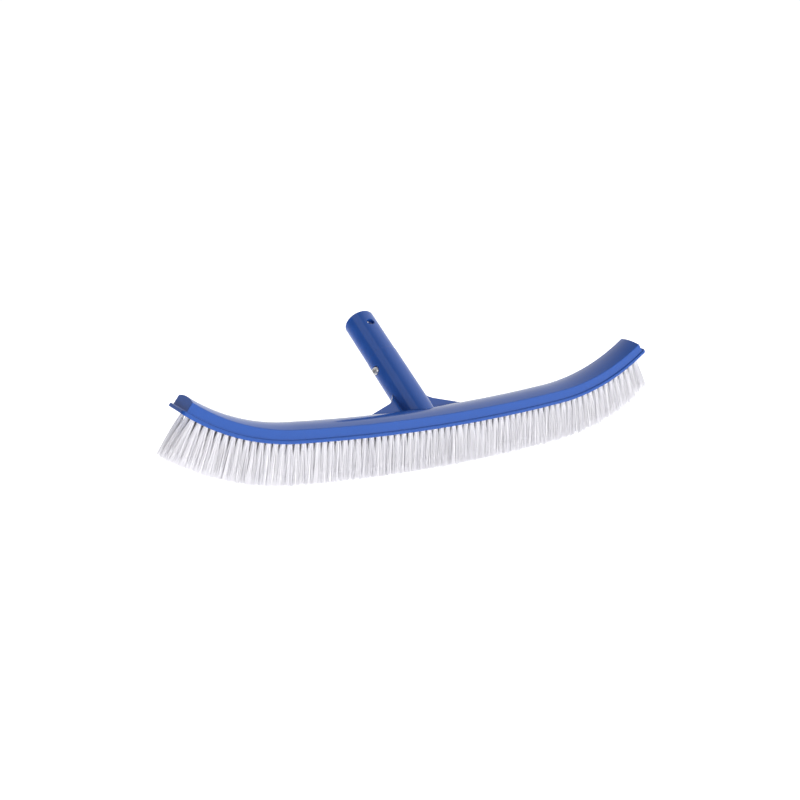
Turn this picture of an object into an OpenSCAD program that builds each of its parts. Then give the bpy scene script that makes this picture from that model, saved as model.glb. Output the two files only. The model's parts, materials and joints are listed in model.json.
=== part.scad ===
// Curved pool wall brush with a leaning pole spigot and a snap-button spring.
// Units are millimetres. X runs along the brush, Z points up and the bristles point down.
// The origin is the middle of the bristle tips, where the brush stands.

/* [Brush back] */
// Width across the lip that runs round the underside
lip_w = 29; // [28:0.5:33]
// Thickness of the lip
lip_t = 3.5; // [3:0.25:4.5]
// How far the lip stands out past each end of the block
lip_end = 3.5; // [3.5:0.5:6]
// Width of the block above the lip
block_w = 26.4; // [26:0.1:27]
// Height of the block's top edges above the underside
edge_h = 12.2; // [11.5:0.1:13]
// Rise of the crowned top above a flat one
crown_h = 2.1; // [1.5:0.1:2.5]
// Radius of the nearly straight middle stretch
mid_radius = 1680; // [1500:20:2000]
// Angle of the middle stretch on each side of the centre
mid_angle = 4.9; // [4.5:0.1:5.3]
// Radius of the upswept ends
end_radius = 206; // [190:2:240]
// Angle that each upswept end turns through
end_angle = 31; // [29:0.5:33]

/* [Bristles] */
// Free length of the bristles below the underside
bristle_len = 38; // [30:1:50]
// Share of the underside's lean that the tufts take, so that they fan out less than square to it
tuft_fan = 0.65; // [0.5:0.05:1]
// Distance between tufts along a row
tuft_pitch = 6.8; // [6.5:0.1:6.8]
// Distance between neighbouring rows
row_gap = 4.8; // [4.8:0.05:5]
// Tufts in the front, middle and back rows, an odd number
row_count = 73; // [61:2:73]
// Radius of a tuft at its tip
tuft_tip_r = 2.8; // [2.4:0.1:2.8]
// Radius of a tuft at its folded root
tuft_root_r = 1.95; // [1.8:0.05:1.95]
// Depth of each tuft hole
hole_depth = 7; // [6.5:0.5:8]

/* [Pole spigot] */
// Outer diameter, to slide inside a 1 1/4 inch telescopic pole
spigot_d = 30.8; // [30.6:0.1:31]
// Outer diameter past the faint shoulder, up to the open end
spigot_tip_d = 30.3; // [30:0.1:30.4]
// Distance from the root point to the shoulder
shoulder_at = 86; // [82:1:90]
// Inner diameter
bore_d = 22.6; // [22.6:0.1:22.8]
// Lean of the spigot away from upright
spigot_lean = 59.5; // [58:0.5:61]
// Distance from the root point to the open end
spigot_len = 138; // [130:0.5:145]
// Diameter of the snap-button holes
button_hole_d = 9; // [9:0.1:9.2]
// Distance from the root point to the snap-button holes
button_at = 71; // [70.9:0.1:71.1]
// Diameter of the fixing hole near the open end
end_hole_d = 7.5; // [6:0.5:9]
// Distance from the root point to the fixing hole
end_hole_at = 121.5; // [110:0.5:124]
// How far each gusset reaches from the middle
gusset_reach = 78; // [76:1:80]
// Thickness of the gussets
gusset_t = 3; // [3:0.5:5]

/* [Snap-button spring] */
// Width of the spring strip
strip_w = 7; // [6.5:0.5:7]
// Thickness of the spring strip
strip_t = 0.7; // [0.5:0.1:0.8]
// Mean radius of the spring's bend
bend_r = 7; // [6.8:0.1:7]
// Distance from the root point to the ends of the bend
bend_at = 36; // [35.8:0.1:36.2]
// Outward splay of each leg at rest
leg_splay = 4.4; // [4.2:0.1:4.5]
// Diameter of a snap button
button_d = 7.6; // [7.4:0.1:7.6]
// Length of a snap button outside its leg
button_len = 8.95; // [8.8:0.05:8.95]

/* [Hidden] */

$fn = 48;
// Facets of a full turn for the long sweeps, so that a few degrees stay smooth
sweep_fn = 720;
DEG = 180 / PI;

// Underside curve: a wide middle arc with a tighter arc at each end, measured along its length
mid_len = mid_radius * mid_angle / DEG;
half_len = mid_len + end_radius * end_angle / DEG;
end_centre_x = (mid_radius - end_radius) * sin(mid_angle);
end_centre_z = mid_radius - (mid_radius - end_radius) * cos(mid_angle);

// Cross-section
lip_round = 1;
lip_corner_r = 3;
tab_inset = 0.02;
edge_round = 0.8;
crown_r = (block_w * block_w / 4 + crown_h * crown_h) / (2 * crown_h);
crown_centre = edge_h + crown_h - crown_r;
round_y = block_w / 2 - edge_round;
round_n = crown_centre + sqrt(pow(crown_r - edge_round, 2) - round_y * round_y);
crown_half = round_y * crown_r / (crown_r - edge_round);

// Tufts and their anchors
hole_r = 2.2;
anchor_size = [0.35, 4.2, 1.6];
// The filaments' folds take the last of the hole's depth, over the anchor
fold_cover = 0.5;
anchor_base = hole_depth - fold_cover - anchor_size[2];

// Spigot
root_y = 9;
spigot_r = spigot_d / 2;
tip_r = spigot_tip_d / 2;
bore_r = bore_d / 2;
rim_round = 1.4;
bore_floor = 26;
front_cut_y = -5;
gusset_foot = 5;
gusset_top = 30;
gusset_fillet = 20;
// How far the fillet's circle runs into the tube and into the gusset's upper edge
fillet_into_tube = 1;
fillet_into_edge = 0.3;
gusset_slope = (gusset_top - gusset_foot) / (gusset_reach - spigot_r);
slope_size = sqrt(1 + gusset_slope * gusset_slope);
fillet_x = spigot_r - fillet_into_tube + gusset_fillet;
fillet_z = edge_z(fillet_x) + (gusset_fillet - fillet_into_edge) * slope_size;
fillet_end_x = fillet_x - gusset_fillet * gusset_slope / slope_size;
far = 400;

// Spring
leg_gap = 0.1;
leg_len = 41;
button_along = 35.2;
stem_r = 1.8;
stem_play = 0.02;
peen_r = 2.6;
peen_t = 0.6;
dome_h = 3.2;

// ---------- placing ----------

// Lean of the underside at a distance s along it from the centre
function tilt(s) =
    abs(s) <= mid_len
    ? s / mid_radius * DEG
    : sign(s) * (mid_angle + (abs(s) - mid_len) / end_radius * DEG);

function under_x(s) =
    abs(s) <= mid_len
    ? mid_radius * sin(tilt(s))
    : sign(s) * end_centre_x + end_radius * sin(tilt(s));

function under_z(s) =
    abs(s) <= mid_len
    ? mid_radius * (1 - cos(tilt(s)))
    : end_centre_z - end_radius * cos(tilt(s));

// Moves in three steps of finer and finer digits, so that a long move loses none of them
module fine_translate(v) {
    whole = [for (c = v) floor(c)];
    thousandths = [for (i = [0:2]) floor((v[i] - whole[i]) * 1000) / 1000];
    translate(whole)
        translate(thousandths)
            translate(v - whole - thousandths)
                children();
}

// Puts its children on the underside, standing square to it
module at_station(s) {
    fine_translate([under_x(s), 0, bristle_len + under_z(s)])
        rotate([0, -tilt(s), 0])
            children();
}

// Puts its children on the underside along a tuft, which leans less than the underside does
module at_tuft(s) {
    fine_translate([under_x(s), 0, bristle_len + under_z(s)])
        rotate([0, -tuft_fan * tilt(s), 0])
            children();
}

// Puts its children on the spigot's axis, which becomes their Z
module on_spigot() {
    translate([0, root_y, bristle_len])
        rotate([-spigot_lean, 0, 0])
            children();
}

// Puts its children on the right leg of the spring, Z along the leg and X outwards
module on_leg() {
    on_spigot()
        translate([bend_r, 0, bend_at])
            rotate([0, leg_splay, 0])
                children();
}

// ---------- brush back ----------

// Edge of the lip: outwards along X, upwards along Y
module lip_edge(reach, thick) {
    square([reach - lip_round, thick]);
    translate([0, lip_round])
        square([reach, thick - 2 * lip_round]);
    for (h = [lip_round, thick - lip_round])
        translate([reach - lip_round, h])
            circle(lip_round);
}

// Cross-section of the lip, upwards along X and across the brush along Y
module lip_section() {
    for (side = [0, 1])
        mirror([0, side])
            mirror([1, -1])
                lip_edge(lip_w / 2, lip_t);
}

// Cross-section of the block and its crowned top, laid out as the lip's
module block_section() {
    translate([0, -block_w / 2])
        square([round_n, block_w]);
    intersection() {
        translate([crown_centre, 0])
            circle(crown_r, $fn = 240);
        translate([0, -crown_half])
            square([edge_h + crown_h + 1, 2 * crown_half]);
    }
    for (side = [-1, 1])
        translate([round_n, side * round_y])
            circle(edge_round);
}

// Sweeps a cross-section about an axis above the underside
module sweep(radius, from, turn) {
    rotate([-90, 0, 0])
        rotate_extrude(angle = turn, start = from, $fn = sweep_fn)
            translate([radius, 0])
                mirror([1, 0])
                    children();
}

module sweep_middle() {
    translate([0, 0, bristle_len + mid_radius])
        sweep(mid_radius, 90 - mid_angle, 2 * mid_angle)
            children();
}

// Sweeps the right end, carried on past it by a few degrees for the lip
module sweep_right_end(extra = 0) {
    fine_translate([end_centre_x, 0, bristle_len + end_centre_z])
        sweep(end_radius, 90 - mid_angle - end_angle - extra, end_angle + extra)
            children();
}

// The lip's rounded corners and edge past the right end of the block
module end_tab() {
    at_station(half_len)
        translate([lip_end - lip_corner_r, 0, tab_inset]) {
            for (side = [-1, 1])
                translate([0, side * (lip_w / 2 - lip_corner_r), 0])
                    rotate_extrude()
                        lip_edge(lip_corner_r - tab_inset, lip_t - 2 * tab_inset);
            translate([0, lip_w / 2 - lip_corner_r, 0])
                rotate([90, 0, 0])
                    linear_extrude(lip_w - 2 * lip_corner_r)
                        translate([-lip_corner_r, 0])
                            lip_edge(2 * lip_corner_r - tab_inset, lip_t - 2 * tab_inset);
        }
}

module back_section() {
    lip_section();
    block_section();
}

module brush_back() {
    color("royalblue")
        difference() {
            union() {
                sweep_middle()
                    back_section();
                for (side = [0, 1])
                    mirror([side, 0, 0]) {
                        sweep_right_end()
                            back_section();
                        sweep_right_end((lip_end - lip_corner_r) / end_radius * DEG)
                            lip_section();
                        end_tab();
                    }
            }
            for (row = [-2:2])
                each_tuft(row)
                    translate([0, 0, -1])
                        cylinder(h = hole_depth + 1, r = hole_r);
        }
}

// ---------- pole spigot ----------

// Height of the gusset's straight upper edge along the spigot, at a distance x from its axis
function edge_z(x) = gusset_top - gusset_slope * (x - spigot_r);

// Right gusset, X outwards and Y along the spigot, with a fillet between its upper edge and the tube
module gusset_outline() {
    polygon([
        [0, 0],
        [gusset_reach, 0],
        [gusset_reach, gusset_foot],
        [spigot_r, gusset_top],
        [0, gusset_top]
    ]);
    difference() {
        polygon([
            [0, gusset_foot],
            [fillet_end_x, edge_z(fillet_end_x)],
            [fillet_x, fillet_z],
            [0, fillet_z]
        ]);
        translate([fillet_x, fillet_z])
            circle(gusset_fillet);
    }
}

module pole_spigot() {
    color("royalblue")
        difference() {
            intersection() {
                on_spigot() {
                    rotate_extrude() {
                        square([spigot_r, shoulder_at]);
                        square([tip_r, spigot_len - rim_round]);
                        square([tip_r - rim_round, spigot_len]);
                        translate([tip_r - rim_round, spigot_len - rim_round])
                            circle(rim_round);
                    }
                    for (side = [0, 1])
                        mirror([side, 0, 0])
                            rotate([90, 0, 0])
                                linear_extrude(gusset_t, center = true)
                                    gusset_outline();
                }
                translate([0, front_cut_y, bristle_len + mid_radius])
                    rotate([-90, 0, 0])
                        cylinder(h = far, r = mid_radius, $fn = sweep_fn);
            }
            sweep_middle()
                back_section();
            on_spigot() {
                translate([0, 0, bore_floor])
                    cylinder(h = spigot_len, r = bore_r);
                translate([0, 0, button_at])
                    rotate([0, 90, 0])
                        cylinder(h = 2 * spigot_d, d = button_hole_d, center = true);
                translate([0, 0, end_hole_at])
                    rotate([90, 0, 0])
                        cylinder(h = 2 * spigot_d, d = end_hole_d, center = true);
            }
        }
}

// ---------- snap-button spring ----------

module spring_bend() {
    color("silver")
        on_spigot()
            translate([0, 0, bend_at])
                rotate([90, 0, 0])
                    linear_extrude(strip_w, center = true)
                        intersection() {
                            difference() {
                                circle(bend_r + strip_t / 2);
                                circle(bend_r - strip_t / 2);
                            }
                            translate([-2 * bend_r, -2 * bend_r])
                                square([4 * bend_r, 2 * bend_r]);
                        }
}

module spring_leg() {
    on_leg()
        translate([-strip_t / 2, 0, 0])
            rotate([90, 0, 90])
                linear_extrude(strip_t)
                    difference() {
                        union() {
                            translate([-strip_w / 2, leg_gap])
                                square([strip_w, leg_len - strip_w / 2 - leg_gap]);
                            translate([0, leg_len - strip_w / 2])
                                circle(strip_w / 2);
                        }
                        translate([0, button_along])
                            circle(stem_r + stem_play);
                    }
}

module snap_button() {
    on_leg()
        translate([0, 0, button_along])
            rotate([0, 90, 0])
                rotate_extrude() {
                    translate([0, -strip_t / 2 - peen_t])
                        square([peen_r, peen_t]);
                    translate([0, -strip_t / 2])
                        square([stem_r, strip_t]);
                    translate([0, strip_t / 2])
                        square([button_d / 2, button_len - dome_h]);
                    button_dome();
                }
}

// Half of the domed tip, on top of the button's straight side
module button_dome() {
    base = strip_t / 2 + button_len - dome_h;
    dome_r = (button_d * button_d / 4 + dome_h * dome_h) / (2 * dome_h);
    intersection() {
        translate([0, base + dome_h - dome_r])
            circle(dome_r);
        translate([0, base])
            square([button_d / 2, dome_h]);
    }
}

module right_spring_leg() {
    color("silver") spring_leg();
}

module left_spring_leg() {
    color("silver") mirror([1, 0, 0]) spring_leg();
}

module right_snap_button() {
    color("gainsboro") snap_button();
}

module left_snap_button() {
    color("gainsboro") mirror([1, 0, 0]) snap_button();
}

// ---------- bristles ----------

// Repeats its children at every tuft of a row, counted from -2 at the front to 2 at the back.
// Every other row has one tuft fewer and is shifted by half a pitch.
module each_tuft(row) {
    count = row_count - abs(row) % 2;
    for (i = [0:count - 1])
        at_tuft((i - (count - 1) / 2) * tuft_pitch)
            translate([0, row * row_gap, 0])
                children();
}

// One row of tufts, each from its tip up to its anchor
module tuft_row(row) {
    color("whitesmoke")
        each_tuft(row)
            translate([0, 0, -bristle_len])
                cylinder(h = bristle_len + anchor_base, r1 = tuft_tip_r, r2 = tuft_root_r);
}

// One row of flat wire anchors, each across the bottom of its tuft hole
module anchor_row(row) {
    color("darkgray")
        each_tuft(row)
            translate([-anchor_size[0] / 2, -anchor_size[1] / 2, anchor_base])
                cube(anchor_size);
}

brush_back();
pole_spigot();
spring_bend();
left_spring_leg();
right_spring_leg();
left_snap_button();
right_snap_button();
tuft_row(-2);  // front_tuft_row
tuft_row(-1);  // front_inner_tuft_row
tuft_row(0);  // middle_tuft_row
tuft_row(1);  // back_inner_tuft_row
tuft_row(2);  // back_tuft_row
anchor_row(-2);  // front_anchor_row
anchor_row(-1);  // front_inner_anchor_row
anchor_row(0);  // middle_anchor_row
anchor_row(1);  // back_inner_anchor_row
anchor_row(2);  // back_anchor_row
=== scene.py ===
import json
import math

import bpy
import numpy as np
from mathutils import Matrix, Vector


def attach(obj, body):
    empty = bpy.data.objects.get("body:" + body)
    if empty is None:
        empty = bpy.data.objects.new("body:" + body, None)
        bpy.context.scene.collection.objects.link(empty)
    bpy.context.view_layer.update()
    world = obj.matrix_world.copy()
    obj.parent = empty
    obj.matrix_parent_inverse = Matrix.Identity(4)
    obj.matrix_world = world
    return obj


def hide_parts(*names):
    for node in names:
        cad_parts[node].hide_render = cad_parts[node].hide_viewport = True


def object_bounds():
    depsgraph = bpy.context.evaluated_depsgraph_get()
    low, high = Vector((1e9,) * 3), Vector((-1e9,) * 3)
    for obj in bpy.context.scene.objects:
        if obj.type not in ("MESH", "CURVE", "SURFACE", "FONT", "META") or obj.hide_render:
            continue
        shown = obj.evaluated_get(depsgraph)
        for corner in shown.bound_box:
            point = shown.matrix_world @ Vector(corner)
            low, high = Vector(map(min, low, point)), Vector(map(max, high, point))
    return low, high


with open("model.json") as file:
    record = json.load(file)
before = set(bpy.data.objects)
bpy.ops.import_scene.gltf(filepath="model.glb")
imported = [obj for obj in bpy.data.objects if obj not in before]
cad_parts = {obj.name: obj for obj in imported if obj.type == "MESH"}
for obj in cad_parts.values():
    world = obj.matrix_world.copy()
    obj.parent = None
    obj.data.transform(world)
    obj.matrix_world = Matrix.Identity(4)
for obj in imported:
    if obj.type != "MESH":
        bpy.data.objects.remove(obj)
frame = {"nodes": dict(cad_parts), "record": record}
cad_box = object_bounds()

MM = 0.001

# The camera: where it looks, from which side, how far off and with what roll
AIM = Vector((-0.0199, 0.0203, 0.0587))
AZIMUTH = math.radians(33.59)
ELEVATION = math.radians(15.82)
ROLL = math.radians(2.16)
DISTANCE = 1.1783
LENS_MM = 58.13

# The studio: where its bright side lies, how strong its dim and bright sides are,
# and where one fades to the other
BRIGHT_SIDE = (0.95, 0.32, -0.25)
WORLD_DIM = 0.12
WORLD_BRIGHT = 1.05
WORLD_FADE = (-0.7, 0.45)
FLOOR_REACH = 60.0
FLOOR_CORNERS = 96

# Bristles: folded filaments, each with two legs. The hole's depth and the heights are from its mouth.
SEED = 20
FOLDS_PER_TUFT = 40
FILAMENT_R = 0.22 * MM
FILAMENT_SIDES = 3
HOLE_DEPTH = 4.9 * MM
FOLD_HEIGHT = 6.6 * MM
BEND_HEIGHT = 4.6 * MM
LEG_IN = 0.42 * MM
LEG_OUT = 1.75 * MM
FOLD_PINCH = 0.55
LEG_JITTER = 0.06 * MM
LEG_SHARES = (0.0, 0.33, 0.67, 1.0)
GOLDEN_TURN = 0.618034
FACE_DEPTH = 0.05 * MM
TIP_SPREAD = 2.9
FLARE = 0.8
TIP_SCATTER = 0.55 * MM
TRIM_SCATTER = 1.3 * MM
TUFT_LEAN = 0.4 * MM
# The end tufts splay outwards, the last ones on the right are trimmed short, and a few strays splay further
LEFT_SPLAY = 5.0 * MM
RIGHT_SPLAY = 2.0 * MM
SPLAY_REACH = 1.6
RIGHT_TRIM = 3.4 * MM
TRIM_REACH = 1.8
STRAYS = 4
STRAY_SPLAY = 4.0 * MM
STRAY_SWING = (0, 0.2, 0.6, 1)

TUFT_ROWS = [
    "front_tuft_row",
    "front_inner_tuft_row",
    "middle_tuft_row",
    "back_inner_tuft_row",
    "back_tuft_row",
]


# ---------- materials ----------


class Shader:
    """A material with a Principled shader, and short ways to add nodes to it."""

    def __init__(self, name, **sockets):
        self.material = bpy.data.materials.new(name)
        self.material.use_nodes = True
        self.tree = self.material.node_tree
        self.main = self.tree.nodes["Principled BSDF"]
        for socket, value in sockets.items():
            self.main.inputs[socket.replace("_", " ")].default_value = value

    def node(self, kind, links=(), **settings):
        """A node of that kind. links maps its inputs to values or to other nodes' outputs."""
        made = self.tree.nodes.new("ShaderNode" + kind)
        for name, value in settings.items():
            setattr(made, name, value)
        for socket, value in dict(links).items():
            self.put(made.inputs[socket], value)
        return made

    def put(self, socket, value):
        if isinstance(value, bpy.types.NodeSocket):
            self.tree.links.new(value, socket)
        else:
            socket.default_value = value

    def place(self):
        """The point on the piece, in metres, as it sits at rest."""
        return self.node("TexCoord").outputs["Object"]

    def noise(self, scale, detail=3.0, stretch=(1, 1, 1)):
        spread = self.node("VectorMath", {0: self.place(), 1: stretch}, operation="MULTIPLY")
        made = self.node("TexNoise", {"Vector": spread.outputs[0], "Scale": scale, "Detail": detail})
        return made.outputs["Fac"]

    def between(self, value, low, high):
        """Turns a value from 0 to 1 into one from low to high."""
        return self.node("MapRange", {"Value": value, "To Min": low, "To Max": high}).outputs["Result"]

    def blend(self, factor, first, second):
        mixed = self.node("Mix", data_type="RGBA")
        self.put(mixed.inputs["Factor"], factor)
        self.put(mixed.inputs["A"], first)
        self.put(mixed.inputs["B"], second)
        return mixed.outputs["Result"]

    def colour(self, value):
        self.put(self.main.inputs["Base Color"], value)

    def roughness(self, value):
        self.put(self.main.inputs["Roughness"], value)

    def bump(self, height, distance, under=None):
        bumps = self.node("Bump", {"Height": height, "Distance": distance, "Strength": 1.0})
        if under:
            self.put(bumps.inputs["Normal"], under)
        self.put(self.main.inputs["Normal"], bumps.outputs["Normal"])
        return bumps.outputs["Normal"]


def blue_plastic():
    """Glossy moulded plastic with faint flow marks and an orange-peel skin."""
    shader = Shader("blue_plastic", IOR=1.49)
    flow = shader.noise(14, detail=4, stretch=(1, 3, 3))
    shader.colour(shader.blend(flow, (0.019, 0.096, 0.42, 1), (0.026, 0.108, 0.45, 1)))
    shader.roughness(shader.between(shader.noise(160), 0.1, 0.17))
    soft_edges = shader.node("Bevel", {"Radius": 0.8 * MM}, samples=6).outputs["Normal"]
    peel = shader.bump(shader.noise(300, detail=2), 0.000004, under=soft_edges)
    shader.bump(shader.noise(40, detail=2), 0.00004, under=peel)
    return shader.material


def bristle():
    """White filament, each one a little different."""
    shader = Shader("bristle", Roughness=0.4, IOR=1.49)
    each = shader.node("NewGeometry").outputs["Random Per Island"]
    shader.colour(shader.blend(each, (0.86, 0.85, 0.9, 1), (0.97, 0.96, 0.985, 1)))
    return shader.material


def spring_steel():
    """Cold-rolled strip with fine lines along the rolling direction."""
    shader = Shader("spring_steel", Metallic=1.0)
    lines = shader.noise(900, stretch=(1, 0.1, 0.1))
    shader.colour(shader.blend(lines, (0.52, 0.51, 0.5, 1), (0.68, 0.67, 0.66, 1)))
    shader.roughness(shader.between(lines, 0.22, 0.4))
    return shader.material


def button_metal():
    """Satin stainless steel with turning marks."""
    shader = Shader("button_metal", Metallic=1.0)
    marks = shader.noise(2500, stretch=(1, 0.2, 0.2))
    shader.colour(shader.blend(marks, (0.88, 0.87, 0.87, 1), (0.96, 0.95, 0.96, 1)))
    shader.roughness(shader.between(marks, 0.42, 0.55))
    return shader.material


def anchor_wire():
    """Flat galvanised wire with a blotchy zinc skin."""
    shader = Shader("anchor_wire", Metallic=1.0)
    zinc = shader.noise(700)
    shader.colour(shader.blend(zinc, (0.4, 0.41, 0.42, 1), (0.62, 0.63, 0.65, 1)))
    shader.roughness(shader.between(zinc, 0.3, 0.55))
    return shader.material


def floor_paper():
    shader = Shader("floor_paper", Roughness=0.7)
    grain = shader.noise(6, detail=2)
    shader.colour(shader.blend(grain, (0.87, 0.87, 0.88, 1), (0.9, 0.9, 0.91, 1)))
    return shader.material


# ---------- bristles ----------


def tufts_of(node):
    """The tip and root centres of every tuft in a CAD row, read from the row's own solids."""
    mesh = frame["nodes"][node].data
    points = np.array([v.co for v in mesh.vertices])
    places, same = np.unique(np.round(points, 6), axis=0, return_inverse=True)
    same = same.ravel()
    edges = same[np.array([e.vertices for e in mesh.edges])]
    label = np.arange(len(places))
    while True:
        lowest = np.minimum(label[edges[:, 0]], label[edges[:, 1]])
        before = label.copy()
        np.minimum.at(label, edges[:, 0], lowest)
        np.minimum.at(label, edges[:, 1], lowest)
        label = label[label]
        if (label == before).all():
            break
    found = []
    for solid in np.unique(label):
        cone = places[label == solid]
        centre = cone.mean(0)
        axis = np.linalg.svd(cone - centre)[2][0]
        axis *= np.sign(axis[2])
        height = (cone - centre) @ axis
        tip = cone[height < height.min() + FACE_DEPTH].mean(0)
        root = cone[height > height.max() - FACE_DEPTH].mean(0)
        found.append((tip, root))
    return sorted(found, key=lambda ends: ends[0][0])


def fold_places(rng):
    """Where the legs of a tuft's filaments stand in its hole: half a disc, spread evenly, then jittered."""
    turn = (np.arange(FOLDS_PER_TUFT) * GOLDEN_TURN + rng.random()) % 1 * math.pi - math.pi / 2
    reach = LEG_OUT * np.sqrt((np.arange(FOLDS_PER_TUFT) + 0.5) / FOLDS_PER_TUFT)
    x = np.maximum(reach * np.cos(turn), LEG_IN) + rng.normal(0, LEG_JITTER, FOLDS_PER_TUFT)
    y = reach * np.sin(turn) + rng.normal(0, LEG_JITTER, FOLDS_PER_TUFT)
    return x, y


def leg(x, y, side, length, lean, rng):
    """One leg of every filament of a tuft, from its bend down to its tip, along the tuft's own axes.

    The points come as (filament, point, xyz).
    """
    count = len(x)
    drop = length * (1 - rng.random(count) * TRIM_SCATTER / length)
    tip_x = side * x * TIP_SPREAD + rng.normal(0, TIP_SCATTER, count) + lean[0]
    tip_y = y * TIP_SPREAD + rng.normal(0, TIP_SCATTER, count) + lean[1]
    line = [np.stack([side * x * FOLD_PINCH, y, np.full(count, FOLD_HEIGHT)], 1)]
    line.append(np.stack([side * x, y, np.full(count, BEND_HEIGHT)], 1))
    for share in LEG_SHARES:
        swing = share ** FLARE
        line.append(
            np.stack([side * x + (tip_x - side * x) * swing, y + (tip_y - y) * swing, -drop * share], 1)
        )
    return np.stack(line, 1)


def tube_rings(lines):
    """Rings of points about every filament's line, square to it in the plane of its fold."""
    ahead = np.empty_like(lines)
    ahead[:, 1:-1] = lines[:, 2:] - lines[:, :-2]
    ahead[:, 0] = lines[:, 1] - lines[:, 0]
    ahead[:, -1] = lines[:, -1] - lines[:, -2]
    across = np.stack([ahead[..., 2], np.zeros(ahead.shape[:2]), -ahead[..., 0]], -1)
    across /= np.linalg.norm(across, axis=-1, keepdims=True)
    turn = (np.arange(FILAMENT_SIDES) + 0.5) * 2 * math.pi / FILAMENT_SIDES
    ring = lines[:, :, None] + FILAMENT_R * np.cos(turn)[:, None] * across[:, :, None]
    ring[..., 1] += FILAMENT_R * np.sin(turn)
    return ring


def tube_faces(filaments, points):
    """Quads for the sides of every filament, and one face for each end."""
    start = np.arange(filaments)[:, None, None] * points * FILAMENT_SIDES
    along = start + np.arange(points - 1)[:, None] * FILAMENT_SIDES
    here = np.arange(FILAMENT_SIDES)
    there = (here + 1) % FILAMENT_SIDES
    corners = [along + here, along + there, along + there + FILAMENT_SIDES, along + here + FILAMENT_SIDES]
    sides = np.stack(corners, -1)
    first = start[:, 0] + here[::-1]
    last = start[:, 0] + (points - 1) * FILAMENT_SIDES + here
    return sides.reshape(-1, 4).tolist() + first.tolist() + last.tolist()


def tuft_row(node, rng):
    """A row of tufts of folded filaments, in place of the CAD row's plain cones."""
    tufts = tufts_of(node)
    rings = []
    for number, (tip, root) in enumerate(tufts):
        up = (root - tip) / np.linalg.norm(root - tip)
        along = np.cross((0, 1, 0), up)
        axes = np.stack([along, np.cross(up, along), up])
        mouth = root - up * HOLE_DEPTH
        from_right = len(tufts) - 1 - number
        length = np.linalg.norm(mouth - tip) - RIGHT_TRIM * math.exp(-from_right / TRIM_REACH)
        lean = rng.normal(0, TUFT_LEAN, 2)
        lean[0] -= LEFT_SPLAY * math.exp(-number / SPLAY_REACH)
        lean[0] += RIGHT_SPLAY * math.exp(-from_right / SPLAY_REACH)
        x, y = fold_places(rng)
        down = leg(x, y, -1, length, lean, rng)
        if number == 0:
            down[:STRAYS, -len(STRAY_SWING):, 0] -= STRAY_SPLAY * np.array(STRAY_SWING)
        back = leg(x, y, 1, length, lean, rng)
        lines = np.concatenate([down[:, ::-1], back], 1)
        rings.append(tube_rings(lines) @ axes + mouth)
    rings = np.concatenate(rings)
    mesh = bpy.data.meshes.new(node + "_filaments")
    faces = tube_faces(len(rings), rings.shape[1])
    mesh.from_pydata(rings.reshape(-1, 3).tolist(), [], faces)
    mesh.shade_smooth()
    mesh.materials.append(MATERIALS["bristle"])
    piece = bpy.data.objects.new(node + "_filaments", mesh)
    bpy.context.scene.collection.objects.link(piece)
    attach(piece, "root")
    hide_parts(node)
    return piece


# ---------- studio ----------


def add_camera():
    data = bpy.data.cameras.new("camera")
    data.lens = LENS_MM
    camera = bpy.data.objects.new("camera", data)
    turn = (
        Matrix.Rotation(-AZIMUTH, 4, "Z")
        @ Matrix.Rotation(math.pi / 2 - ELEVATION, 4, "X")
        @ Matrix.Rotation(ROLL, 4, "Z")
    )
    camera.matrix_world = Matrix.Translation(AIM) @ turn @ Matrix.Translation((0, 0, DISTANCE))
    bpy.context.scene.collection.objects.link(camera)
    bpy.context.scene.camera = camera


def add_floor():
    turn = np.arange(FLOOR_CORNERS) * 2 * math.pi / FLOOR_CORNERS
    rim = np.stack([FLOOR_REACH * np.cos(turn), FLOOR_REACH * np.sin(turn), np.zeros(FLOOR_CORNERS)], 1)
    mesh = bpy.data.meshes.new("floor")
    mesh.from_pydata(rim.tolist(), [], [list(range(FLOOR_CORNERS))])
    mesh.materials.append(floor_paper())
    floor = bpy.data.objects.new("floor", mesh)
    floor.location.z = cad_box[0][2]
    bpy.context.scene.collection.objects.link(floor)
    # A bright floor would fog the plastic's reflections
    floor.visible_glossy = False
    return floor


def add_light(name, kind, where, watts, lit, **settings):
    """A light that faces the brush and lights only the listed things."""
    data = bpy.data.lights.new(name, kind)
    data.energy = watts
    for setting, value in settings.items():
        setattr(data, setting, value)
    light = bpy.data.objects.new(name, data)
    light.location = where
    light.rotation_euler = (AIM - Vector(where)).to_track_quat("-Z", "Y").to_euler()
    bpy.context.scene.collection.objects.link(light)
    light.light_linking.receiver_collection = bpy.data.collections.new(name + "_lights")
    for thing in lit:
        light.light_linking.receiver_collection.objects.link(thing)
    return light


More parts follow.
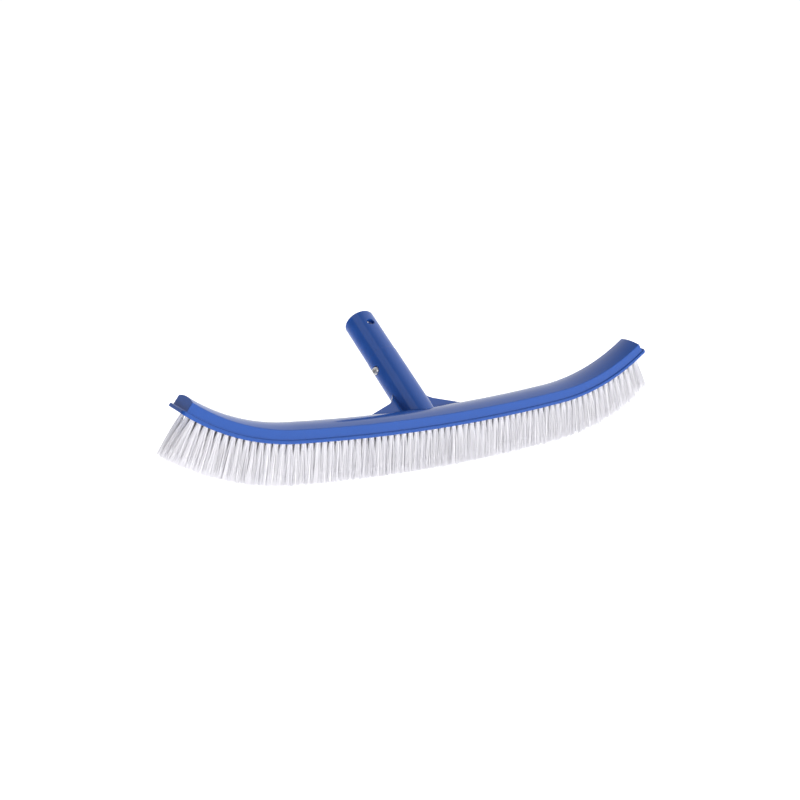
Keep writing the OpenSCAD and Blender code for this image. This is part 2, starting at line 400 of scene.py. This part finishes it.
def add_world():
    """A white studio that gets dimmer to the left and overhead."""
    world = bpy.data.worlds.new("studio")
    world.use_nodes = True
    tree = world.node_tree
    place = tree.nodes.new("ShaderNodeTexCoord")
    side = tree.nodes.new("ShaderNodeVectorMath")
    side.operation = "DOT_PRODUCT"
    side.inputs[1].default_value = BRIGHT_SIDE
    fade = tree.nodes.new("ShaderNodeMapRange")
    fade.interpolation_type = "SMOOTHSTEP"
    ends = dict(zip(("From Min", "From Max", "To Min", "To Max"), (*WORLD_FADE, WORLD_DIM, WORLD_BRIGHT)))
    for socket, value in ends.items():
        fade.inputs[socket].default_value = value
    tree.links.new(place.outputs["Generated"], side.inputs[0])
    tree.links.new(side.outputs["Value"], fade.inputs["Value"])
    background = tree.nodes["Background"]
    background.inputs["Color"].default_value = (0.985, 0.99, 1, 1)
    tree.links.new(fade.outputs["Result"], background.inputs["Strength"])
    bpy.context.scene.world = world
    bpy.context.scene.view_settings.view_transform = "Standard"


def only_shaded_by(light, blockers):
    """Lets only those things cast a shadow in that light."""
    light.light_linking.blocker_collection = bpy.data.collections.new(light.name + "_blockers")
    for thing in blockers:
        light.light_linking.blocker_collection.objects.link(thing)


def add_lights(floor, cad, filaments):
    add_light("key", "AREA", (0.55, -2.1, 0.65), 12, cad, size=0.3)
    add_light("top_strip", "AREA", (-1.2, 0.4, 1.8), 4.4, cad, size=1.5)
    add_light("bristle_fill", "AREA", (-1.2, -2.1, 0.5), 31, filaments, size=1.2)
    # Stands in for a glowing table: its light comes up through the floor
    under = add_light("under_fill", "AREA", (-0.8, -1.8, -0.5), 7, filaments, size=1.2)
    only_shaded_by(under, filaments)
    wash = add_light("floor_wash", "SUN", (0.3, -0.2, 3.0), 3.9, [floor], angle=math.radians(150))
    only_shaded_by(wash, [floor])


add_camera()
add_world()
floor = add_floor()

MATERIALS = {
    "blue_plastic": blue_plastic(),
    "bristle": bristle(),
    "spring_steel": spring_steel(),
    "button_metal": button_metal(),
    "anchor_wire": anchor_wire(),
}
for part in frame["record"]["subparts"]:
    for held in frame["nodes"][part["node"]].material_slots:
        held.material = MATERIALS[part["material_slot"]]

draws = np.random.default_rng(SEED)
filaments = [tuft_row(row, draws) for row in TUFT_ROWS]
add_lights(floor, list(frame["nodes"].values()), filaments)

bpy.context.view_layer.update()
